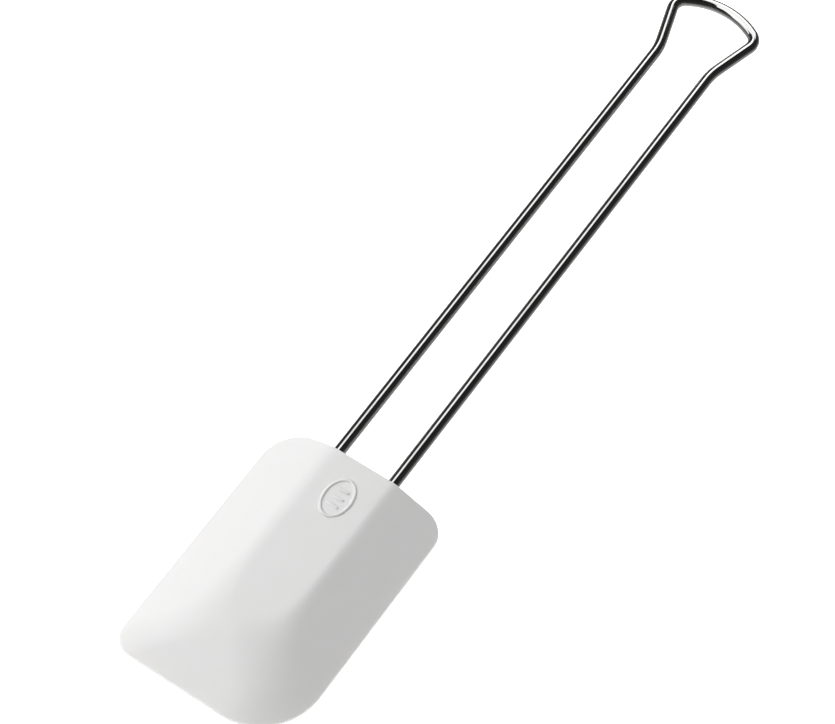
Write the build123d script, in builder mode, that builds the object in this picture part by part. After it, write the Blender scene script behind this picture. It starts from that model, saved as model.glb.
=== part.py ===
"""Silicone scraper spatula with a bent wire loop handle.

Three pieces: one bent steel wire, the stiff plastic core moulded round its two ends, and the
silicone head moulded over that core.  Millimetres.  X across, +Y towards the hanging eye, +Z out
of the ribbed front face.  The origin is under the middle of the overall length, on the plane that
the head's flat back lies on.
"""

from build123d import *
import math
import os

# ---- driving dimensions -------------------------------------------------------------------

OVERALL_LENGTH = 270.8  # tip of the head to the outside of the hanging eye

WIRE_DIAMETER = 3.5
LEG_SPACING = 18.0  # centre to centre of the two parallel legs
WIRE_HEIGHT = 5.7  # wire centreline above the head's flat back

HEAD_WIDTH = 55.0
HEAD_LENGTH = 78.6
RIB_WIDTH = 20.5  # flat top of the raised rib
RIB_HEIGHT = 9.3  # back face to rib top
LIP_THICKNESS = 1.8  # along the two long edges and the scraping edge
TOP_LARGE_RADIUS = 10.3  # at -X
TOP_SMALL_RADIUS = 6.5  # at +X
TIGHT_CORNER_RADIUS = 5.8  # scraping corner at -X
ROUND_CORNER_RADIUS = 19.0  # bowl corner at +X
CREASE_RADIUS = 4.0  # where the flat rib turns into its slopes
RIM_RADIUS = 0.6

FLARE_ANGLE = 16.6  # each leg leans outwards into the hanging eye
FLARE_START = 24.8  # eye's outside back to where the legs start to lean
FLARE_BEND = 20.0
EYE_ARC_RADIUS = 22.0
EYE_CORNER_BEND = 4.3

FOOT_BEND = 5.0  # the buried ends turn inwards and lock in the core
FOOT_REACH = 6.6  # from the leg's centreline to the cut end
FOOT_DEPTH = 42.5  # from the head's top edge to the foot's centreline
CUT_END_CHAMFER = 0.3

CORE_WALL = 0.9  # plastic round the wire
CORE_LENGTH = 50.0
CORE_WIDTH = 34.0
CORE_BOTTOM = 3.1
CORE_THICKNESS = 2.2
CORE_CORNER_RADIUS = 6.0
CORE_COLLAR = 3.0  # silicone between the core and the head's top edge
KEY_HOLE_DIAMETER = 3.6  # silicone runs through these and locks the head on
KEY_HOLE_INSET = 3.0  # hole centre to the plate's long edge
KEY_HOLE_PITCH = 9.0
KEY_HOLE_ROWS = 3
KEY_SLOT_LENGTH = 8.0
KEY_SLOT_WIDTH = 5.0
KEY_SLOT_PITCH = 16.0
KEY_SHIFT = 9.0  # holes and slots are centred this far above the plate's middle
END_HOLE_DROP = 6.6  # buried feet to the row of holes below them
END_HOLE_PITCH = 8.5
END_HOLE_COUNT = 3

BADGE_WIDTH = 9.0  # plain raised oval ring near the rib's top
BADGE_LENGTH = 13.0
BADGE_LINE = 1.0
BADGE_BAR_LENGTH = 4.2
BADGE_BAR_PITCH = 2.6
BADGE_BAR_COUNT = 3
BADGE_RISE = 0.35
BADGE_DEPTH = 12.5  # head's top edge to the badge's centre

WALL_LEAN_LIMIT = 0.01  # a face whose normal rises less than this is an upright wall

# ---- derived places -----------------------------------------------------------------------

TIP_Y = -OVERALL_LENGTH / 2
EYE_Y = OVERALL_LENGTH / 2
HEAD_TOP_Y = TIP_Y + HEAD_LENGTH
HEAD_MIDDLE_Y = TIP_Y + HEAD_LENGTH / 2
SLOPE_RUN = (HEAD_WIDTH - RIB_WIDTH) / 2  # the rib falls to the lip over this on three sides
RIB_END_Y = TIP_Y + SLOPE_RUN
WIRE_RADIUS = WIRE_DIAMETER / 2
LEG_X = LEG_SPACING / 2
FOOT_Y = HEAD_TOP_Y - FOOT_DEPTH
CORE_TOP_Y = HEAD_TOP_Y - CORE_COLLAR
CORE_MIDDLE_Y = CORE_TOP_Y - CORE_LENGTH / 2
BARREL_RADIUS = WIRE_RADIUS + CORE_WALL

os.makedirs("parts", exist_ok=True)


def eye_corner():
    """Where a leaning leg would meet the eye's top arc if the corner had no bend."""
    slope = math.tan(math.radians(FLARE_ANGLE))
    lean_y = EYE_Y - FLARE_START
    arc_centre_y = EYE_Y - WIRE_RADIUS - EYE_ARC_RADIUS
    lift = arc_centre_y - lean_y
    foot = LEG_X + slope * lift
    square = 1 + slope**2
    rise = (-slope * foot + math.sqrt(square * EYE_ARC_RADIUS**2 - foot**2)) / square
    return foot + slope * rise, arc_centre_y + rise


# ---- wire handle --------------------------------------------------------------------------

corner_x, corner_y = eye_corner()
apex_y = EYE_Y - WIRE_RADIUS
lean_y = EYE_Y - FLARE_START
foot_end_x = LEG_X - FOOT_REACH
arc_middle_x = EYE_ARC_RADIUS * math.sin(math.asin(corner_x / EYE_ARC_RADIUS) / 2)
arc_middle_y = apex_y - EYE_ARC_RADIUS + math.sqrt(EYE_ARC_RADIUS**2 - arc_middle_x**2)


def vertex_at(line, x, y):
    """The corner of a wire path nearest to a place in the wire's plane."""
    return line.vertices().sort_by_distance((x, y, WIRE_HEIGHT))[0]


with BuildLine(Plane.XY.offset(WIRE_HEIGHT)) as wire_path:
    Polyline((foot_end_x, FOOT_Y), (LEG_X, FOOT_Y), (LEG_X, lean_y), (corner_x, corner_y))
    ThreePointArc((corner_x, corner_y), (arc_middle_x, arc_middle_y), (0, apex_y))
    fillet(vertex_at(wire_path, LEG_X, FOOT_Y), FOOT_BEND)
    fillet(vertex_at(wire_path, LEG_X, lean_y), FLARE_BEND)
    fillet(vertex_at(wire_path, corner_x, corner_y), EYE_CORNER_BEND)
    mirror(about=Plane.YZ)

with BuildPart() as wire_handle:
    with BuildSketch(Plane(origin=(foot_end_x, FOOT_Y, WIRE_HEIGHT), z_dir=(1, 0, 0))):
        Circle(WIRE_RADIUS)
    sweep(path=wire_path.wires()[0])
    cut_ends = wire_handle.faces().filter_by(Axis.X).edges()
    chamfer(cut_ends, CUT_END_CHAMFER)
wire_handle.part.label = "wire_handle"

# ---- core ---------------------------------------------------------------------------------

with BuildPart() as core_body:
    with BuildSketch(Plane.XY.offset(CORE_BOTTOM)):
        with Locations((0, CORE_MIDDLE_Y)):
            RectangleRounded(CORE_WIDTH, CORE_LENGTH, CORE_CORNER_RADIUS)
        with Locations((0, CORE_MIDDLE_Y + KEY_SHIFT)):
            with GridLocations(0, KEY_SLOT_PITCH, 1, 2):
                SlotOverall(KEY_SLOT_LENGTH, KEY_SLOT_WIDTH, rotation=90, mode=Mode.SUBTRACT)
            with GridLocations(CORE_WIDTH - 2 * KEY_HOLE_INSET, KEY_HOLE_PITCH, 2, KEY_HOLE_ROWS):
                Circle(KEY_HOLE_DIAMETER / 2, mode=Mode.SUBTRACT)
        with Locations((0, FOOT_Y - END_HOLE_DROP)):
            with GridLocations(END_HOLE_PITCH, 0, END_HOLE_COUNT, 1):
                Circle(KEY_HOLE_DIAMETER / 2, mode=Mode.SUBTRACT)
    extrude(amount=CORE_THICKNESS)
    barrel_length = CORE_TOP_Y - FOOT_Y
    with BuildSketch(Plane.XZ.offset(-CORE_TOP_Y)):
        with Locations((LEG_X, WIRE_HEIGHT), (-LEG_X, WIRE_HEIGHT)):
            Circle(BARREL_RADIUS)
    extrude(amount=barrel_length)
    with BuildSketch(Plane.YZ.offset(-LEG_X)):
        with Locations((FOOT_Y, WIRE_HEIGHT)):
            Circle(BARREL_RADIUS)
    extrude(amount=LEG_SPACING)
    with Locations((LEG_X, FOOT_Y, WIRE_HEIGHT), (-LEG_X, FOOT_Y, WIRE_HEIGHT)):
        Sphere(BARREL_RADIUS)

with BuildPart() as core_plate:
    add(core_body.part)
    add(wire_handle.part, mode=Mode.SUBTRACT)
core_plate.part.label = "core_plate"

# ---- silicone head ------------------------------------------------------------------------


def corner_of(sketch, side_x, side_y):
    """The outline's corner nearest to one corner of the head's bounding rectangle."""
    return sketch.vertices().sort_by_distance((side_x, side_y, 0))[0]


def head_outline():
    """Rounded head outline with one tight and one large scraping corner, as a sketch."""
    half = HEAD_WIDTH / 2
    with BuildSketch() as outline:
        with Locations((0, HEAD_MIDDLE_Y)):
            Rectangle(HEAD_WIDTH, HEAD_LENGTH)
        fillet(corner_of(outline, half, HEAD_TOP_Y), TOP_SMALL_RADIUS)
        fillet(corner_of(outline, -half, HEAD_TOP_Y), TOP_LARGE_RADIUS)
        fillet(corner_of(outline, -half, TIP_Y), TIGHT_CORNER_RADIUS)
        fillet(corner_of(outline, half, TIP_Y), ROUND_CORNER_RADIUS)
    return outline.sketch


# The slopes run round the large corner as a cone, so the lip keeps its thickness there.
corner_centre = (HEAD_WIDTH / 2 - ROUND_CORNER_RADIUS, TIP_Y + ROUND_CORNER_RADIUS)
cone_height = ROUND_CORNER_RADIUS * (RIB_HEIGHT - LIP_THICKNESS) / SLOPE_RUN

with BuildPart() as corner_cutter:
    with Locations((*corner_centre, 0)):
        Box(
            2 * ROUND_CORNER_RADIUS,
            2 * ROUND_CORNER_RADIUS,
            2 * RIB_HEIGHT,
            align=(Align.MIN, Align.MAX, Align.MIN),
        )
        Cylinder(
            ROUND_CORNER_RADIUS,
            LIP_THICKNESS,
            align=(Align.CENTER, Align.CENTER, Align.MIN),
            mode=Mode.SUBTRACT,
        )
    with Locations((*corner_centre, LIP_THICKNESS)):
        Cone(
            ROUND_CORNER_RADIUS,
            0,
            cone_height,
            align=(Align.CENTER, Align.CENTER, Align.MIN),
            mode=Mode.SUBTRACT,
        )

with BuildPart() as head_form:
    add(head_outline())
    extrude(amount=RIB_HEIGHT)
    with BuildSketch(Plane.XZ.offset(-HEAD_TOP_Y)):
        with BuildLine():
            Polyline(
                (-HEAD_WIDTH / 2, 0),
                (HEAD_WIDTH / 2, 0),
                (HEAD_WIDTH / 2, LIP_THICKNESS),
                (RIB_WIDTH / 2, RIB_HEIGHT),
                (-RIB_WIDTH / 2, RIB_HEIGHT),
                (-HEAD_WIDTH / 2, LIP_THICKNESS),
                close=True,
            )
        make_face()
    extrude(amount=HEAD_LENGTH, mode=Mode.INTERSECT)
    with BuildSketch(Plane.YZ.offset(-HEAD_WIDTH / 2)):
        with BuildLine():
            Polyline(
                (TIP_Y, 0),
                (HEAD_TOP_Y, 0),
                (HEAD_TOP_Y, RIB_HEIGHT),
                (RIB_END_Y, RIB_HEIGHT),
                (TIP_Y, LIP_THICKNESS),
                close=True,
            )
        make_face()
    extrude(amount=HEAD_WIDTH, mode=Mode.INTERSECT)
    add(corner_cutter.part, mode=Mode.SUBTRACT)
    ridge_edges = [
        head_form.edges().sort_by_distance(place)[0]
        for place in (
            (-RIB_WIDTH / 2, CORE_MIDDLE_Y, RIB_HEIGHT),
            (RIB_WIDTH / 2, CORE_MIDDLE_Y, RIB_HEIGHT),
            (0, RIB_END_Y, RIB_HEIGHT),
            (-RIB_WIDTH / 2 - SLOPE_RUN / 2, TIP_Y + SLOPE_RUN / 2, (RIB_HEIGHT + LIP_THICKNESS) / 2),
        )
    ]
    fillet(ridge_edges, CREASE_RADIUS)
    walls = head_form.faces().filter_by(lambda face: abs(face.normal_at().Z) < WALL_LEAN_LIMIT)
    rim_edges = walls.edges().filter_by(Axis.Z, reverse=True)
    fillet(rim_edges, RIM_RADIUS)

with BuildPart() as badge:
    with BuildSketch(Plane.XY.offset(RIB_HEIGHT)):
        with Locations((0, HEAD_TOP_Y - BADGE_DEPTH)):
            Ellipse(BADGE_WIDTH / 2, BADGE_LENGTH / 2)
            Ellipse(BADGE_WIDTH / 2 - BADGE_LINE, BADGE_LENGTH / 2 - BADGE_LINE, mode=Mode.SUBTRACT)
            with GridLocations(0, BADGE_BAR_PITCH, 1, BADGE_BAR_COUNT):
                SlotOverall(BADGE_BAR_LENGTH, BADGE_LINE)
    extrude(amount=BADGE_RISE)

with BuildPart() as silicone_head:
    add(head_form.part)
    add(badge.part)
    add(core_body.part, mode=Mode.SUBTRACT)
    add(wire_handle.part, mode=Mode.SUBTRACT)
silicone_head.part.label = "silicone_head"

# ---- output -------------------------------------------------------------------------------

export_step(wire_handle.part, "parts/wire_handle.step")
export_step(core_plate.part, "parts/core_plate.step")
export_step(silicone_head.part, "parts/silicone_head.step")
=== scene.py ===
"""Looks of a silicone scraper spatula on a bent wire loop handle.

Metres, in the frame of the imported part: X across the head, +Y towards the hanging eye, +Z out of
the ribbed front face, with the head's flat back on the plane Z = 0.
"""

import logging
import math
from dataclasses import dataclass, field, replace
from enum import Enum

import bmesh
import bpy
from mathutils import Matrix, Vector


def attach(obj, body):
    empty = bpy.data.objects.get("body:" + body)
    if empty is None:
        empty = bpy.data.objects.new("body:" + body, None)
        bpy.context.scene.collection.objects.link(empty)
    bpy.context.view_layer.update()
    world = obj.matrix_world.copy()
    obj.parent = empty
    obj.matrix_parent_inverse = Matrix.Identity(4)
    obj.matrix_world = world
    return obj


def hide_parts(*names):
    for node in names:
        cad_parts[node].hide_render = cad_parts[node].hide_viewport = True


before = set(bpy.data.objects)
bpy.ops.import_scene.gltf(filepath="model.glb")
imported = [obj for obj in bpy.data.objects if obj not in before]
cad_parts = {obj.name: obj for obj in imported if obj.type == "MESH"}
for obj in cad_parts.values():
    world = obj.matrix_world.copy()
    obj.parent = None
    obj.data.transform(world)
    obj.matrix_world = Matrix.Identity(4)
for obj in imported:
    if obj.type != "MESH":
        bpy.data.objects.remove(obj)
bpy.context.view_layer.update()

LOG = logging.getLogger("scraper")
MM = 0.001
MERGE = MM / 1000
AT_CENTRE = 1e-6

Edges = list[bmesh.types.BMEdge]


class Node(str, Enum):
    """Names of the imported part's nodes."""

    WIRE = "wire_handle"
    CORE = "core_plate"
    HEAD = "silicone_head"


class Slot(str, Enum):
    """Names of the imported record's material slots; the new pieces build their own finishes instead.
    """

    WIRE = "polished_wire"
    HEAD = "silicone"


# ---- small helpers --------------------------------------------------------------------------


def smooth_min(first: float, second: float, reach: float) -> float:
    """Lower of two heights, rounded where they cross.

    Args:
        first: One height.
        second: The other height.
        reach: Height difference over which the crossing is rounded.

    Returns:
        The rounded lower height.
    """
    overlap = max(reach - abs(first - second), 0.0) / reach
    return min(first, second) - overlap * overlap * reach / 4.0


def ease(low: float, high: float, value: float) -> float:
    """Smooth step from 0 at low to 1 at high.

    Args:
        low: Where the step starts.
        high: Where the step ends.
        value: Where it is read.

    Returns:
        A number from 0 to 1.
    """
    part = min(max((value - low) / (high - low), 0.0), 1.0)
    return part * part * (3.0 - 2.0 * part)


def object_from(name: str, mesh: bmesh.types.BMesh) -> bpy.types.Object:
    """Makes a smooth-shaded object at the origin from a bmesh, and frees the bmesh.

    Args:
        name: Name of the object and its mesh.
        mesh: The finished shape.

    Returns:
        The new object, linked to the scene.
    """
    data = bpy.data.meshes.new(name)
    mesh.to_mesh(data)
    mesh.free()
    data.shade_smooth()
    made = bpy.data.objects.new(name, data)
    bpy.context.scene.collection.objects.link(made)
    return made


def with_solids(body: bpy.types.Object, solids: list[tuple[str, bpy.types.Object]]) -> None:
    """Adds closed solids to a body or cuts them out of it, and removes the solids.

    Args:
        body: The body whose mesh changes.
        solids: Each an operation, UNION or DIFFERENCE, and a closed solid.
    """
    for operation, solid in solids:
        step = body.modifiers.new("step", "BOOLEAN")
        step.operation = operation
        step.solver = "EXACT"
        step.object = solid
        bpy.context.view_layer.update()
        shaped = body.evaluated_get(bpy.context.evaluated_depsgraph_get())
        data = bpy.data.meshes.new_from_object(shaped)
        body.modifiers.remove(step)
        body.data = data
        bpy.data.objects.remove(solid)


# ---- shader groups --------------------------------------------------------------------------


class Grain:
    """Shader group of moulding grain: fine pits and a slow mottle."""

    NAME = "moulding_grain"
    GRAIN_SCALE = 1500.0
    GRAIN_DETAIL = 3.0
    GRAIN_ROUGHNESS = 0.6
    MOTTLE_SCALE = 60.0
    MOTTLE_DETAIL = 4.0

    @classmethod
    def group(cls) -> bpy.types.ShaderNodeTree:
        """Builds the group once.

        Returns:
            The node group.
        """
        if cls.NAME in bpy.data.node_groups:
            return bpy.data.node_groups[cls.NAME]
        tree = bpy.data.node_groups.new(cls.NAME, "ShaderNodeTree")
        face = tree.interface
        face.new_socket("Place", in_out="INPUT", socket_type="NodeSocketVector")
        for name, value in (("Grain Scale", cls.GRAIN_SCALE), ("Mottle Scale", cls.MOTTLE_SCALE)):
            socket = face.new_socket(name, in_out="INPUT", socket_type="NodeSocketFloat")
            socket.default_value = value
        for name in ("Grain", "Mottle"):
            face.new_socket(name, in_out="OUTPUT", socket_type="NodeSocketFloat")
        nodes, links = tree.nodes, tree.links
        start, end = nodes.new("NodeGroupInput"), nodes.new("NodeGroupOutput")
        grain = nodes.new("ShaderNodeTexNoise")
        grain.inputs["Detail"].default_value = cls.GRAIN_DETAIL
        grain.inputs["Roughness"].default_value = cls.GRAIN_ROUGHNESS
        mottle = nodes.new("ShaderNodeTexNoise")
        mottle.inputs["Detail"].default_value = cls.MOTTLE_DETAIL
        for texture in (grain, mottle):
            links.new(start.outputs["Place"], texture.inputs["Vector"])
        links.new(start.outputs["Grain Scale"], grain.inputs["Scale"])
        links.new(start.outputs["Mottle Scale"], mottle.inputs["Scale"])
        links.new(grain.outputs["Fac"], end.inputs["Grain"])
        links.new(mottle.outputs["Fac"], end.inputs["Mottle"])
        return tree


@dataclass(frozen=True)
class MouldedFinish:
    """Finish of a moulded soft or hard plastic: two close tones, a satin skin and fine grain."""

    name: str
    tone: tuple[float, float, float]
    shade: tuple[float, float, float]
    roughness: float
    roughness_swing: float = 0.06
    specular: float = 0.5
    subsurface: float = 0.0
    subsurface_radius: tuple[float, float, float] = (1.0, 0.95, 0.9)
    subsurface_scale: float = 2.0 * MM
    grain_scale: float = 2400.0
    mottle_scale: float = 60.0
    bump: float = 0.12
    bump_depth: float = 0.02 * MM

    def material(self) -> bpy.types.Material:
        """Builds the material.

        Returns:
            The procedural material.
        """
        made = bpy.data.materials.new(self.name)
        made.use_nodes = True
        nodes, links = made.node_tree.nodes, made.node_tree.links
        shader = nodes["Principled BSDF"]
        shader.inputs["Specular IOR Level"].default_value = self.specular
        shader.inputs["Subsurface Weight"].default_value = self.subsurface
        shader.inputs["Subsurface Radius"].default_value = self.subsurface_radius
        shader.inputs["Subsurface Scale"].default_value = self.subsurface_scale
        place = nodes.new("ShaderNodeTexCoord")
        grain = nodes.new("ShaderNodeGroup")
        grain.node_tree = Grain.group()
        grain.inputs["Grain Scale"].default_value = self.grain_scale
        grain.inputs["Mottle Scale"].default_value = self.mottle_scale
        tone = nodes.new("ShaderNodeMix")
        tone.data_type = "RGBA"
        tone.inputs["A"].default_value = (*self.tone, 1.0)
        tone.inputs["B"].default_value = (*self.shade, 1.0)
        rough = nodes.new("ShaderNodeMapRange")
        rough.inputs["To Min"].default_value = self.roughness - self.roughness_swing
        rough.inputs["To Max"].default_value = self.roughness + self.roughness_swing
        bump = nodes.new("ShaderNodeBump")
        bump.inputs["Strength"].default_value = self.bump
        bump.inputs["Distance"].default_value = self.bump_depth
        links.new(place.outputs["Object"], grain.inputs["Place"])
        links.new(grain.outputs["Mottle"], tone.inputs["Factor"])
        links.new(tone.outputs["Result"], shader.inputs["Base Color"])
        links.new(grain.outputs["Mottle"], rough.inputs["Value"])
        links.new(rough.outputs["Result"], shader.inputs["Roughness"])
        links.new(grain.outputs["Grain"], bump.inputs["Height"])
        links.new(bump.outputs["Normal"], shader.inputs["Normal"])
        return made


@dataclass(frozen=True)
class DrawnWireFinish:
    """Finish of polished drawn steel wire: mirror bright, with fine lines along its length."""

    name: str
    bright: tuple[float, float, float] = (0.78, 0.775, 0.765)
    dull: tuple[float, float, float] = (0.62, 0.615, 0.605)
    roughness: float = 0.05
    line_roughness: float = 0.1
    line_stretch: tuple[float, float, float] = (9.0, 9.0, 30.0)
    line_detail: float = 5.0
    line_range: tuple[float, float] = (0.35, 0.75)
    smudge_stretch: tuple[float, float, float] = (1.2, 1.2, 60.0)
    smudge_range: tuple[float, float] = (0.5, 0.8)
    bump: float = 0.04
    bump_depth: float = 0.01 * MM
    coordinate: str = "drawn"

    def material(self) -> bpy.types.Material:
        """Builds the material.

        Returns:
            The procedural material.
        """
        made = bpy.data.materials.new(self.name)
        made.use_nodes = True
        nodes, links = made.node_tree.nodes, made.node_tree.links
        shader = nodes["Principled BSDF"]
        shader.inputs["Metallic"].default_value = 1.0
        place = nodes.new("ShaderNodeAttribute")
        place.attribute_name = self.coordinate
        line_stretch = nodes.new("ShaderNodeMapping")
        line_stretch.inputs["Scale"].default_value = self.line_stretch
        lines = nodes.new("ShaderNodeTexNoise")
        lines.inputs["Scale"].default_value = 1.0
        lines.inputs["Detail"].default_value = self.line_detail
        smudge = nodes.new("ShaderNodeTexNoise")
        smudge.inputs["Scale"].default_value = 1.0
        smudge_stretch = nodes.new("ShaderNodeMapping")
        smudge_stretch.inputs["Scale"].default_value = self.smudge_stretch
        tone = nodes.new("ShaderNodeMix")
        tone.data_type = "RGBA"
        tone.inputs["A"].default_value = (*self.bright, 1.0)
        tone.inputs["B"].default_value = (*self.dull, 1.0)
        tone_amount = nodes.new("ShaderNodeMapRange")
        tone_amount.inputs["From Min"].default_value = self.smudge_range[0]
        tone_amount.inputs["From Max"].default_value = self.smudge_range[1]
        rough = nodes.new("ShaderNodeMapRange")
        rough.inputs["From Min"].default_value = self.line_range[0]
        rough.inputs["From Max"].default_value = self.line_range[1]
        rough.inputs["To Min"].default_value = self.roughness
        rough.inputs["To Max"].default_value = self.line_roughness
        bump = nodes.new("ShaderNodeBump")
        bump.inputs["Strength"].default_value = self.bump
        bump.inputs["Distance"].default_value = self.bump_depth
        links.new(place.outputs["Vector"], line_stretch.inputs["Vector"])
        links.new(place.outputs["Vector"], smudge_stretch.inputs["Vector"])
        links.new(line_stretch.outputs["Vector"], lines.inputs["Vector"])
        links.new(smudge_stretch.outputs["Vector"], smudge.inputs["Vector"])
        links.new(smudge.outputs["Fac"], tone_amount.inputs["Value"])
        links.new(tone_amount.outputs["Result"], tone.inputs["Factor"])
        links.new(tone.outputs["Result"], shader.inputs["Base Color"])
        links.new(lines.outputs["Fac"], rough.inputs["Value"])
        links.new(rough.outputs["Result"], shader.inputs["Roughness"])
        links.new(lines.outputs["Fac"], bump.inputs["Height"])
        links.new(bump.outputs["Normal"], shader.inputs["Normal"])
        return made


# ---- wire handle ----------------------------------------------------------------------------


@dataclass
class WireHandle:
    """One bent wire: two parallel legs, a flared hanging eye and two feet buried in the core."""

    finish: DrawnWireFinish
    radius: float = 1.75 * MM
    leg_x: float = 9.0 * MM
    height: float = 5.7 * MM
    eye_y: float = 135.4 * MM
    flare_start: float = 24.8 * MM
    flare_angle: float = math.radians(16.6)
    flare_bend: float = 20.0 * MM
    eye_arc: float = 22.0 * MM
    eye_corner: float = 4.3 * MM
    foot_y: float = -99.3 * MM
    foot_bend: float = 5.0 * MM
    foot_end_x: float = 2.4 * MM
    slack: float = 0.04 * MM
    loop_middle: float = 100.0 * MM
    sides: int = 40
    run_step: float = 8.0 * MM
    bend_step: float = math.radians(4.0)
    least_bend_steps: int = 4

    def _extend(self, mesh: bmesh.types.BMesh, ring: Edges, length: float, heading: Vector) -> Edges:
        """Runs the wire straight on.

        Args:
            mesh: The wire so far.
            ring: Edges of its open end.
            length: How far it runs.
            heading: Unit vector of the run.

        Returns:
            Edges of the new open end.
        """
        steps = max(1, round(length / self.run_step))
        for _ in range(steps):
            grown = bmesh.ops.extrude_edge_only(mesh, edges=ring)["geom"]
            fresh = [item for item in grown if isinstance(item, bmesh.types.BMVert)]
            bmesh.ops.translate(mesh, verts=fresh, vec=heading * (length / steps))
            ring = [item for item in grown if isinstance(item, bmesh.types.BMEdge)]
            ring = [edge for edge in ring if all(vert in fresh for vert in edge.verts)]
        return ring

    def _bend(self, mesh: bmesh.types.BMesh, ring: Edges, centre: Vector, angle: float) -> Edges:
        """Bends the wire on about an upright axis.

        Args:
            mesh: The wire so far.
            ring: Edges of its open end.
            centre: Centre of the bend.
            angle: Turn in radians, positive to the left.

        Returns:
            Edges of the new open end.
        """
        steps = max(self.least_bend_steps, math.ceil(abs(angle) / self.bend_step))
        spun = bmesh.ops.spin(
            mesh, geom=ring, cent=centre, axis=(0, 0, 1), dvec=(0, 0, 0), angle=angle,
            steps=steps, use_merge=False, use_duplicate=False,
        )
        return [item for item in spun["geom_last"] if isinstance(item, bmesh.types.BMEdge)]

    def _route(self) -> list[tuple[float, float]]:
        """Half of the wire's route, from a foot to the top of the eye.

        Returns:
            Moves in order: a length and no turn, or a bend radius and a signed turn.
        """
        slope = math.tan(self.flare_angle)
        lean_y = self.eye_y - self.flare_start
        arc_centre = self.eye_y - self.radius - self.eye_arc
        base = self.leg_x + slope * (arc_centre - lean_y)
        square = 1 + slope**2
        rise = (-slope * base + math.sqrt(square * self.eye_arc**2 - base**2)) / square
        # The corner bend touches the leaning leg and the inside of the eye's arc.
        inner = self.eye_arc - self.eye_corner
        normal = Vector((-math.cos(self.flare_angle), math.sin(self.flare_angle)))
        start = Vector((base + slope * rise, rise)) + normal * self.eye_corner
        run = Vector((math.sin(self.flare_angle), math.cos(self.flare_angle)))
        along = start.dot(run)
        shift = -along + math.sqrt(max(along**2 - start.length_squared + inner**2, 0.0))
        corner = start + run * shift
        touch = corner - normal * self.eye_corner
        leg_end = Vector((self.leg_x, lean_y - arc_centre))
        cut = self.flare_bend * math.tan(self.flare_angle / 2)
        corner_turn = math.atan2(corner.y, corner.x) + self.flare_angle
        return [
            (self.leg_x - self.foot_bend - self.foot_end_x, 0.0),
            (self.foot_bend, math.pi / 2),
            (lean_y - self.foot_y - self.foot_bend - cut, 0.0),
            (self.flare_bend, -self.flare_angle),
            ((touch - leg_end).length - cut, 0.0),
            (self.eye_corner, corner_turn),
            (self.eye_arc, math.pi / 2 - math.atan2(corner.y, corner.x)),
        ]

    def solid(self) -> bpy.types.Object:
        """Makes the bare bent wire.

        Returns:
            A closed solid.
        """
        mesh = bmesh.new()
        place = Vector((self.foot_end_x, self.foot_y, self.height))
        heading = Vector((1, 0, 0))
        turned = Matrix.Rotation(math.pi / 2, 4, "Y")
        bmesh.ops.create_circle(
            mesh, cap_ends=False, radius=self.radius, segments=self.sides,
            matrix=Matrix.Translation(place) @ turned,
        )
        half = self._route()
        self._follow(mesh, mesh.edges[:], place, heading, half + half[::-1])
        open_ends = [edge for edge in mesh.edges if edge.is_boundary]
        bmesh.ops.holes_fill(mesh, edges=open_ends, sides=0)
        bmesh.ops.recalc_face_normals(mesh, faces=mesh.faces)
        self._mark_drawing(mesh)
        return object_from("polished_wire_loop", mesh)

    def room(self) -> bpy.types.Object:
        """Makes the room that the wire takes up, a little larger than the wire.

        Returns:
            A closed solid.
        """
        larger = replace(
            self, radius=self.radius + self.slack, foot_end_x=self.foot_end_x - self.slack,
        )
        return larger.solid()

    def build(self) -> bpy.types.Object:
        """Makes the wire and dresses it.

        Returns:
            The wire's object.
        """
        wire = self.solid()
        wire.data.materials.append(self.finish.material())
        return wire

    def _follow(
        self, mesh: bmesh.types.BMesh, ring: Edges, place: Vector, heading: Vector,
        moves: list[tuple[float, float]],
    ) -> None:
        """Takes the wire's open end along a list of moves.

        Args:
            mesh: The wire so far.
            ring: Edges of its open end.
            place: Centre of the open end.
            heading: Direction of the open end.
            moves: Straight lengths and bends, as the route gives them.
        """
        for size, turn in moves:
            if turn == 0.0:
                ring = self._extend(mesh, ring, size, heading)
                place = place + heading * size
                continue
            left = Vector((-heading.y, heading.x, 0))
            centre = place + left * math.copysign(size, turn)
            ring = self._bend(mesh, ring, centre, turn)
            spin = Matrix.Rotation(turn, 3, "Z")
            place = centre + spin @ (place - centre)
            heading = spin @ heading

    def _mark_drawing(self, mesh: bmesh.types.BMesh) -> None:
        """Stores, for the drawn lines, where each point is round the wire and along it.

        Args:
            mesh: The finished wire.
        """
        mesh.normal_update()
        layer = mesh.verts.layers.float_vector.new(self.finish.coordinate)
        for vert in mesh.verts:
            up = (vert.co.z - self.height) / self.radius
            side = math.sqrt(max(1.0 - up * up, 0.0))
            # Outside and inside of the loop count apart, so the lines don't mirror.
            outwards = Vector((vert.co.x, vert.co.y - self.loop_middle, 0))
            outer = 1.0 if vert.normal.dot(outwards) > 0 else -1.0
            vert[layer] = (side * outer, up, vert.co.y)


# ---- silicone head --------------------------------------------------------------------------


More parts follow.
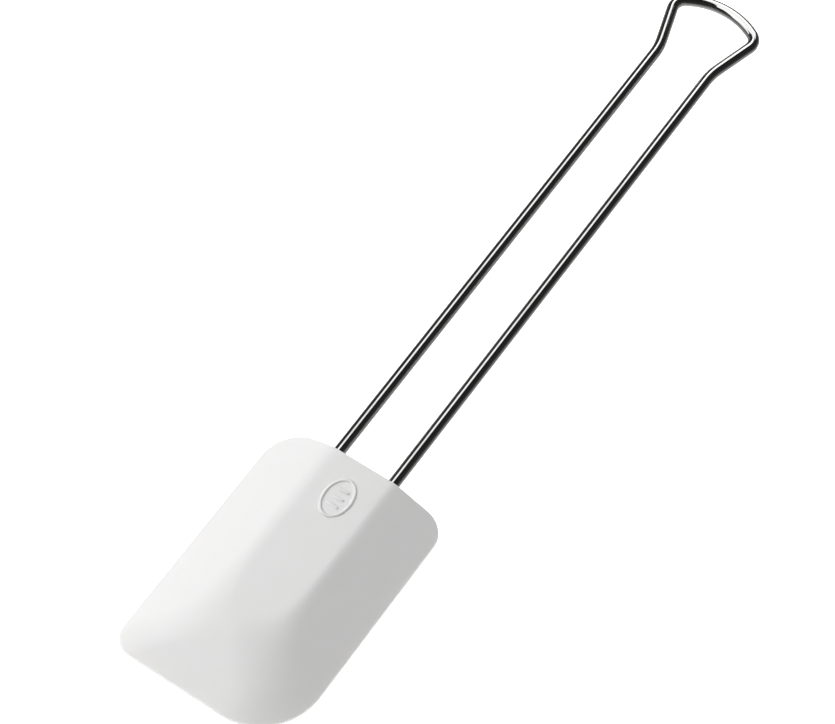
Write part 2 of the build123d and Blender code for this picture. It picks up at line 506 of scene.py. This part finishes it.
@dataclass
class RaisedMark:
    """Plain raised oval ring round three short bars, near the top of the rib."""

    half_width: float = 4.0 * MM
    half_length: float = 6.0 * MM
    line: float = 0.45 * MM
    rise: float = 0.35 * MM
    bar_half: float = 1.5 * MM
    bar_pitch: float = 2.6 * MM
    depth: float = 12.5 * MM
    steps: int = 96
    line_sides: int = 20
    bar_sides: int = 16
    bar_rings: int = 10

    def build(self, place: Vector) -> bpy.types.Object:
        """Makes the mark, half sunk in the rib.

        Args:
            place: Its centre on the rib's flat top.

        Returns:
            A closed solid to join to the head.
        """
        mesh = bmesh.new()
        upright = Matrix.Translation((self.half_width, 0, 0)) @ Matrix.Rotation(math.pi / 2, 4, "X")
        bmesh.ops.create_circle(
            mesh, cap_ends=False, radius=self.line, segments=self.line_sides, matrix=upright,
        )
        bmesh.ops.spin(
            mesh, geom=mesh.edges[:], cent=(0, 0, 0), axis=(0, 0, 1), dvec=(0, 0, 0), angle=2 * math.pi,
            steps=self.steps, use_merge=True, use_duplicate=False,
        )
        bmesh.ops.remove_doubles(mesh, verts=mesh.verts, dist=MERGE)
        for vert in mesh.verts:
            angle = math.atan2(vert.co.y, vert.co.x)
            offset = vert.co.xy.length - self.half_width
            across = Vector((math.cos(angle) * self.half_length, math.sin(angle) * self.half_width))
            on_line = Vector((math.cos(angle) * self.half_width, math.sin(angle) * self.half_length))
            vert.co.xy = on_line + across.normalized() * offset
        for row in (-1, 0, 1):
            bar = bmesh.ops.create_uvsphere(
                mesh, u_segments=self.bar_sides, v_segments=self.bar_rings, radius=self.line,
            )["verts"]
            for vert in bar:
                vert.co.x += math.copysign(self.bar_half, vert.co.x + MERGE)
            bmesh.ops.translate(mesh, verts=bar, vec=(0, row * self.bar_pitch, 0))
        bmesh.ops.scale(mesh, verts=mesh.verts, vec=(1, 1, self.rise / self.line))
        bmesh.ops.translate(mesh, verts=mesh.verts, vec=place)
        bmesh.ops.recalc_face_normals(mesh, faces=mesh.faces)
        return object_from("raised_mark", mesh)


@dataclass
class SiliconeHead:
    """Moulded head: flat back, raised rib between sloped sides, and a ramp to the thin edge."""

    finish: MouldedFinish
    half_width: float = 27.5 * MM
    tip_y: float = -135.4 * MM
    top_y: float = -56.8 * MM
    rib_half: float = 10.25 * MM
    rib_height: float = 9.3 * MM
    lip: float = 1.8 * MM
    top_left: float = 10.3 * MM
    top_right: float = 6.5 * MM
    tip_left: float = 5.8 * MM
    tip_right: float = 19.0 * MM
    rim: float = 0.6 * MM
    crease_left: float = 0.95 * MM
    crease_right: float = 0.55 * MM
    nose_blend: float = 3.3 * MM
    hip_left: float = 3.1 * MM
    hip_right: float = 5.7 * MM
    hip_turn: float = 6.0 * MM
    blend_start: float = 41.4 * MM
    blend_end: float = 10.0 * MM
    cone_start: float = 0.01
    corner_pull: int = 3
    columns: int = 124
    rows: int = 176
    rim_steps: int = 5
    sharp_angle: float = math.radians(40)
    mark: RaisedMark = field(default_factory=RaisedMark)

    def front_height(self, x: float, y: float) -> float:
        """Height of the front face.

        Args:
            x: Place across the head.
            y: Place along the head.

        Returns:
            Height above the flat back.
        """
        slope = (self.rib_height - self.lip) / (self.half_width - self.rib_half)
        side = self.lip + slope * (self.half_width - abs(x))
        tip = self.lip + slope * (y - self.tip_y)
        corner = Vector((x - self.half_width + self.tip_right, y - self.tip_y - self.tip_right))
        turn = ease(-self.hip_turn, self.hip_turn, x)
        lower = smooth_min(side, tip, self.hip_left + (self.hip_right - self.hip_left) * turn)
        if corner.x > 0 and corner.y < 0:
            # The slopes run round the large corner as a cone, blended in away from its borders.
            cone = self.lip + slope * (self.tip_right - corner.length)
            inwards = ease(0.0, self.tip_right, min(corner.x, -corner.y))
            lower = smooth_min(lower, cone, self.crease_right * (self.cone_start + inwards))
        soft = ease(self.blend_start, self.blend_end, y - self.tip_y)
        crease = self.crease_left + (self.crease_right - self.crease_left) * turn
        return smooth_min(self.rib_height, lower, crease + (self.nose_blend - crease) * soft)

    def outline(self, u: float, v: float, inset: float) -> Vector:
        """Point of the rounded outline that matches a point of the unit square's border.

        Args:
            u: Border point's place from -1 to 1 across.
            v: Border point's place from -1 to 1 along.
            inset: How far the outline is drawn in.

        Returns:
            The point in the head's plan.
        """
        across, along = self.half_width - inset, (self.top_y - self.tip_y) / 2 - inset
        middle = (self.top_y + self.tip_y) / 2
        right = {1: self.top_right - inset, -1: self.tip_right - inset}
        left = {1: self.top_left - inset, -1: self.tip_left - inset}
        if abs(v) >= abs(u):
            end = 1 if v > 0 else -1
            x, y = self._side_point(u, across, left[end], right[end])
            return Vector((x, middle + end * (along - y)))
        end = 1 if u > 0 else -1
        near, far = (right if end > 0 else left)[-1], (right if end > 0 else left)[1]
        y, x = self._side_point(v, along, near, far)
        return Vector((end * (across - x), middle + y))

    @staticmethod
    def _side_point(t: float, half: float, near: float, far: float) -> tuple[float, float]:
        """Walks one side of a rounded rectangle, from mid-corner to mid-corner.

        Args:
            t: Place along the side from -1 to 1.
            half: Half of the side's length.
            near: Corner radius at -1.
            far: Corner radius at 1.

        Returns:
            Place along the side, and how far the corner has turned in from it.
        """
        straight = 2 * half - near - far
        walked = (t + 1) / 2 * (straight + (near + far) * math.pi / 4)
        start = near * math.pi / 4
        if walked < start:
            turn = math.pi / 4 - walked / near
            return -half + near * (1 - math.sin(turn)), near * (1 - math.cos(turn))
        if walked > start + straight:
            turn = (walked - start - straight) / far
            return half - far * (1 - math.sin(turn)), far * (1 - math.cos(turn))
        return -half + near + walked - start, 0.0

    def _plan_point(self, u: float, v: float) -> Vector:
        """Place in the head's plan of a point of the unit square.

        Args:
            u: Place from -1 to 1 across.
            v: Place from -1 to 1 along.

        Returns:
            The point in the head's plan.
        """
        across, along = self.half_width - self.rim, (self.top_y - self.tip_y) / 2 - self.rim
        flat = Vector((across * u, (self.top_y + self.tip_y) / 2 + along * v))
        ring = max(abs(u), abs(v))
        if ring < AT_CENTRE:
            return flat
        border = self.outline(u / ring, v / ring, self.rim)
        square = Vector((across * u / ring, (self.top_y + self.tip_y) / 2 + along * v / ring))
        return flat + (border - square) * ring**self.corner_pull

    def build(self, inside: list[bpy.types.Object]) -> bpy.types.Object:
        """Makes the head and dresses it.

        Args:
            inside: Closed solids that fill the head's cavity, used up here.

        Returns:
            The head's object.
        """
        mesh = bmesh.new()
        bmesh.ops.create_grid(mesh, x_segments=self.columns, y_segments=self.rows, size=1.0)
        border = {}
        for vert in mesh.verts:
            u, v = vert.co.x, vert.co.y
            plan = self._plan_point(u, v)
            if vert.is_boundary:
                border[vert] = (u, v)
            vert.co = (plan.x, plan.y, self.front_height(plan.x, plan.y))
        self._turn_rim(mesh, border)
        bmesh.ops.recalc_face_normals(mesh, faces=mesh.faces)
        head = object_from("moulded_head", mesh)
        mark = self.mark.build(Vector((0, self.top_y - self.mark.depth, self.rib_height)))
        with_solids(head, [("UNION", mark)] + [("DIFFERENCE", solid) for solid in inside])
        head.data.set_sharp_from_angle(angle=self.sharp_angle)
        head.data.materials.clear()
        head.data.materials.append(self.finish.material())
        return head

    def _turn_rim(
        self, mesh: bmesh.types.BMesh, border: dict[bmesh.types.BMVert, tuple[float, float]],
    ) -> None:
        """Rounds the front rim, drops the wall, rounds the back rim and closes the back.

        Args:
            mesh: The head's open front face.
            border: Its border points, each with its place on the unit square.
        """
        steps = range(1, self.rim_steps + 1)
        quarter = [math.pi / 2 * step / self.rim_steps for step in steps]
        arc = [(self.rim * (1 - math.sin(turn)), self.rim * (1 - math.cos(turn))) for turn in quarter]
        rings = [(inset, drop, True) for inset, drop in arc]
        rings += [(0.0, self.rim, False)]
        rings += [(rise, inset, False) for inset, rise in arc]
        edges = [edge for edge in mesh.edges if edge.is_boundary]
        for inset, drop, from_front in rings:
            grown = bmesh.ops.extrude_edge_only(mesh, edges=edges)["geom"]
            fresh = [item for item in grown if isinstance(item, bmesh.types.BMVert)]
            moved = {}
            for vert in fresh:
                joined = (edge.other_vert(vert) for edge in vert.link_edges)
                u, v = border[next(other for other in joined if other in border)]
                plan = self.outline(u, v, inset)
                front = self.outline(u, v, self.rim)
                top = self.front_height(front.x, front.y)
                moved[vert] = (u, v)
                vert.co = (plan.x, plan.y, top - drop if from_front else drop)
            edges = [item for item in grown if isinstance(item, bmesh.types.BMEdge)]
            edges = [edge for edge in edges if all(vert in moved for vert in edge.verts)]
            border = moved
        bmesh.ops.contextual_create(mesh, geom=edges)


# ---- core -----------------------------------------------------------------------------------


@dataclass
class CorePlate:
    """Stiff plastic core inside the head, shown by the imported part's own shape."""

    finish: MouldedFinish

    def dress(self) -> bpy.types.Object:
        """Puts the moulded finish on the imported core.

        Returns:
            The core's object.
        """
        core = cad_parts[Node.CORE.value]
        core.data.materials.clear()
        core.data.materials.append(self.finish.material())
        return core

    @staticmethod
    def room() -> bpy.types.Object:
        """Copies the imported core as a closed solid.

        Returns:
            The copy, merged into one shell.
        """
        mesh = bmesh.new()
        mesh.from_mesh(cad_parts[Node.CORE.value].data)
        bmesh.ops.remove_doubles(mesh, verts=mesh.verts, dist=MERGE)
        bmesh.ops.dissolve_degenerate(mesh, edges=mesh.edges, dist=MERGE)
        return object_from("core_room", mesh)


# ---- studio ---------------------------------------------------------------------------------


class Role(Enum):
    """What a studio light does: it lights matt surfaces, or it is what polished metal mirrors."""

    LIGHT = "light"
    MIRRORED = "mirrored"


@dataclass(frozen=True)
class Softbox:
    """Rectangular area light that faces a point of the table."""

    name: str
    role: Role
    towards: tuple[float, float, float]
    power: float
    width: float = 0.6
    length: float = 0.6
    distance: float = 1.1
    target: tuple[float, float, float] = (0.0, -0.03, 0.0)

    def place(self) -> bpy.types.Object:
        """Hangs the light.

        Returns:
            The light's object.
        """
        data = bpy.data.lights.new(self.name, "AREA")
        data.shape = "RECTANGLE"
        data.size = self.width
        data.size_y = self.length
        data.energy = self.power
        lamp = bpy.data.objects.new(self.name, data)
        direction = Vector(self.towards).normalized()
        lamp.location = Vector(self.target) + direction * self.distance
        lamp.rotation_euler = direction.to_track_quat("Z", "Y").to_euler()
        lamp.visible_glossy = self.role is Role.MIRRORED
        lamp.visible_diffuse = self.role is Role.LIGHT
        bpy.context.scene.collection.objects.link(lamp)
        return lamp


@dataclass
class Studio:
    """Pale table, softboxes, the surround that polished metal mirrors, and the camera."""

    azimuth: float = math.radians(34.28)
    elevation: float = math.radians(59.65)
    distance: float = 0.7536
    aim: tuple[float, float, float] = (-0.00732, -0.02032, 0.0057)
    lens: float = 116.4
    sensor_width: float = 36.0
    nearest: float = 10.0 * MM
    table_radius: float = 3.0
    table_sides: int = 64
    table_gap: float = 0.2 * MM
    table_tone: float = 0.9
    table_roughness: float = 0.9
    table_glow: float = 1.17
    backdrop_low: float = 1.0
    backdrop_top: float = 0.3
    wall_tones: tuple[tuple[float, float], ...] = (
        (0.0, 0.66), (0.18, 0.36), (0.36, 0.2), (0.46, 0.09), (0.56, 0.04), (0.75, 0.022),
        (1.0, 0.015),
    )
    softboxes: list[Softbox] = field(default_factory=list)

    def build(self) -> None:
        """Sets the table, the lights and the camera."""
        self._table()
        for softbox in self.softboxes:
            softbox.place()
        self._camera()
        bpy.context.scene.world = self._walls()
        bpy.context.scene.view_settings.view_transform = "Standard"

    def _walls(self) -> bpy.types.World:
        """Surrounds the table with the studio that polished metal mirrors.

        Returns:
            The world, mirrored as dark overhead and pale below the horizon, and seen
            directly as a backdrop that is pale beyond the table and grey overhead.
        """
        world = bpy.data.worlds.new("studio_walls")
        world.use_nodes = True
        nodes, links = world.node_tree.nodes, world.node_tree.links
        direction = nodes.new("ShaderNodeTexCoord")
        height = nodes.new("ShaderNodeSeparateXYZ")
        share = nodes.new("ShaderNodeMapRange")
        share.inputs["From Min"].default_value = -1.0
        tones = nodes.new("ShaderNodeValToRGB")
        ramp = tones.color_ramp
        ramp.interpolation = "EASE"
        for place, _ in self.wall_tones[1:-1]:
            ramp.elements.new(place)
        for stop, (_, tone) in zip(ramp.elements, self.wall_tones):
            stop.color = (tone, tone, tone, 1.0)
        path = nodes.new("ShaderNodeLightPath")
        mirrored = nodes["Background"]
        shade = nodes.new("ShaderNodeMapRange")
        shade.inputs["To Min"].default_value = self.backdrop_low
        shade.inputs["To Max"].default_value = self.backdrop_top
        backdrop = nodes.new("ShaderNodeBackground")
        seen = nodes.new("ShaderNodeMixShader")
        links.new(direction.outputs["Generated"], height.inputs["Vector"])
        links.new(height.outputs["Z"], share.inputs["Value"])
        links.new(share.outputs["Result"], tones.inputs["Fac"])
        links.new(tones.outputs["Color"], mirrored.inputs["Color"])
        links.new(path.outputs["Is Glossy Ray"], mirrored.inputs["Strength"])
        links.new(height.outputs["Z"], shade.inputs["Value"])
        links.new(shade.outputs["Result"], backdrop.inputs["Color"])
        links.new(path.outputs["Is Camera Ray"], seen.inputs["Fac"])
        links.new(mirrored.outputs["Background"], seen.inputs[1])
        links.new(backdrop.outputs["Background"], seen.inputs[2])
        links.new(seen.outputs["Shader"], nodes["World Output"].inputs["Surface"])
        return world

    def _table(self) -> None:
        """Lays the pale floor."""
        mesh = bmesh.new()
        bmesh.ops.create_circle(
            mesh, cap_ends=True, radius=self.table_radius, segments=self.table_sides,
            matrix=Matrix.Translation((0, 0, -self.table_gap)),
        )
        floor = object_from("pale_floor", mesh)
        made = bpy.data.materials.new("pale_floor")
        made.use_nodes = True
        nodes, links = made.node_tree.nodes, made.node_tree.links
        shader = nodes["Principled BSDF"]
        # From below the table is clear, so the underside of the piece can be looked at.
        side = nodes.new("ShaderNodeNewGeometry")
        clear = nodes.new("ShaderNodeBsdfTransparent")
        one_sided = nodes.new("ShaderNodeMixShader")
        links.new(side.outputs["Backfacing"], one_sided.inputs["Fac"])
        links.new(shader.outputs["BSDF"], one_sided.inputs[1])
        links.new(clear.outputs["BSDF"], one_sided.inputs[2])
        links.new(one_sided.outputs["Shader"], nodes["Material Output"].inputs["Surface"])
        shader.inputs["Base Color"].default_value = (*[self.table_tone] * 3, 1.0)
        shader.inputs["Roughness"].default_value = self.table_roughness
        shader.inputs["Specular IOR Level"].default_value = 0.0
        shader.inputs["Emission Color"].default_value = (1.0, 1.0, 1.0, 1.0)
        shader.inputs["Emission Strength"].default_value = self.table_glow
        floor.data.materials.append(made)
        floor.visible_glossy = False

    def _camera(self) -> None:
        """Stands the camera."""
        data = bpy.data.cameras.new("camera")
        data.lens = self.lens
        data.sensor_width = self.sensor_width
        data.clip_start = self.nearest
        camera = bpy.data.objects.new("camera", data)
        level = math.cos(self.elevation)
        outward = Vector((
            level * math.sin(self.azimuth), -level * math.cos(self.azimuth), math.sin(self.elevation),
        ))
        camera.location = Vector(self.aim) + outward * self.distance
        camera.rotation_euler = outward.to_track_quat("Z", "Y").to_euler()
        bpy.context.scene.collection.objects.link(camera)
        bpy.context.scene.camera = camera


# ---- assembly -------------------------------------------------------------------------------


def main() -> None:
    """Builds each piece and the studio."""
    logging.basicConfig(level=logging.INFO, format="%(name)s: %(message)s")
    silicone = MouldedFinish(
        name="white_silicone", tone=(0.712, 0.706, 0.708), shade=(0.688, 0.690, 0.682), roughness=0.42,
        subsurface=0.3,
    )
    core_plastic = MouldedFinish(
        name="core_nylon", tone=(0.72, 0.70, 0.64), shade=(0.66, 0.64, 0.58), roughness=0.5,
        grain_scale=900.0, bump=0.2,
    )
    handle = WireHandle(DrawnWireFinish("polished_steel_wire"))
    core_piece = CorePlate(core_plastic)
    head = SiliconeHead(silicone).build([core_piece.room(), handle.room()])
    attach(head, "root")
    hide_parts(Node.HEAD.value)
    LOG.info("head: %d faces", len(head.data.polygons))
    wire = handle.build()
    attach(wire, "root")
    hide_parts(Node.WIRE.value)
    LOG.info("wire: %d faces", len(wire.data.polygons))
    core = core_piece.dress()
    LOG.info("core: %d faces", len(core.data.polygons))
    Studio(softboxes=[
        Softbox("back_softbox", Role.LIGHT, (-0.44, 0.417, 0.795), 4.6, width=0.45, length=1.0),
        Softbox("left_softbox", Role.LIGHT, (-0.61, -0.51, 0.61), 7.9),
        Softbox("right_softbox", Role.LIGHT, (0.75, 0.1, 0.6), 3.6),
        Softbox("front_softbox", Role.LIGHT, (0.1, -0.8, 0.6), 0.95),
        Softbox("low_left_softbox", Role.LIGHT, (-0.9, 0.1, 0.4), 5.4),
        Softbox(
            "strip_light", Role.MIRRORED, (-0.43, 0.0, 0.9), 5.6, width=2.4, length=0.62,
            target=(0.0, 0.45, 0.0),
        ),
        Softbox("left_panel", Role.MIRRORED, (-0.66, -0.46, 0.56), 1.6, width=0.7, length=0.7),
        Softbox("back_panel", Role.MIRRORED, (-0.24, 0.82, 0.52), 1.35, width=0.8, length=0.5),
    ]).build()


if __name__ == "__main__":
    main()
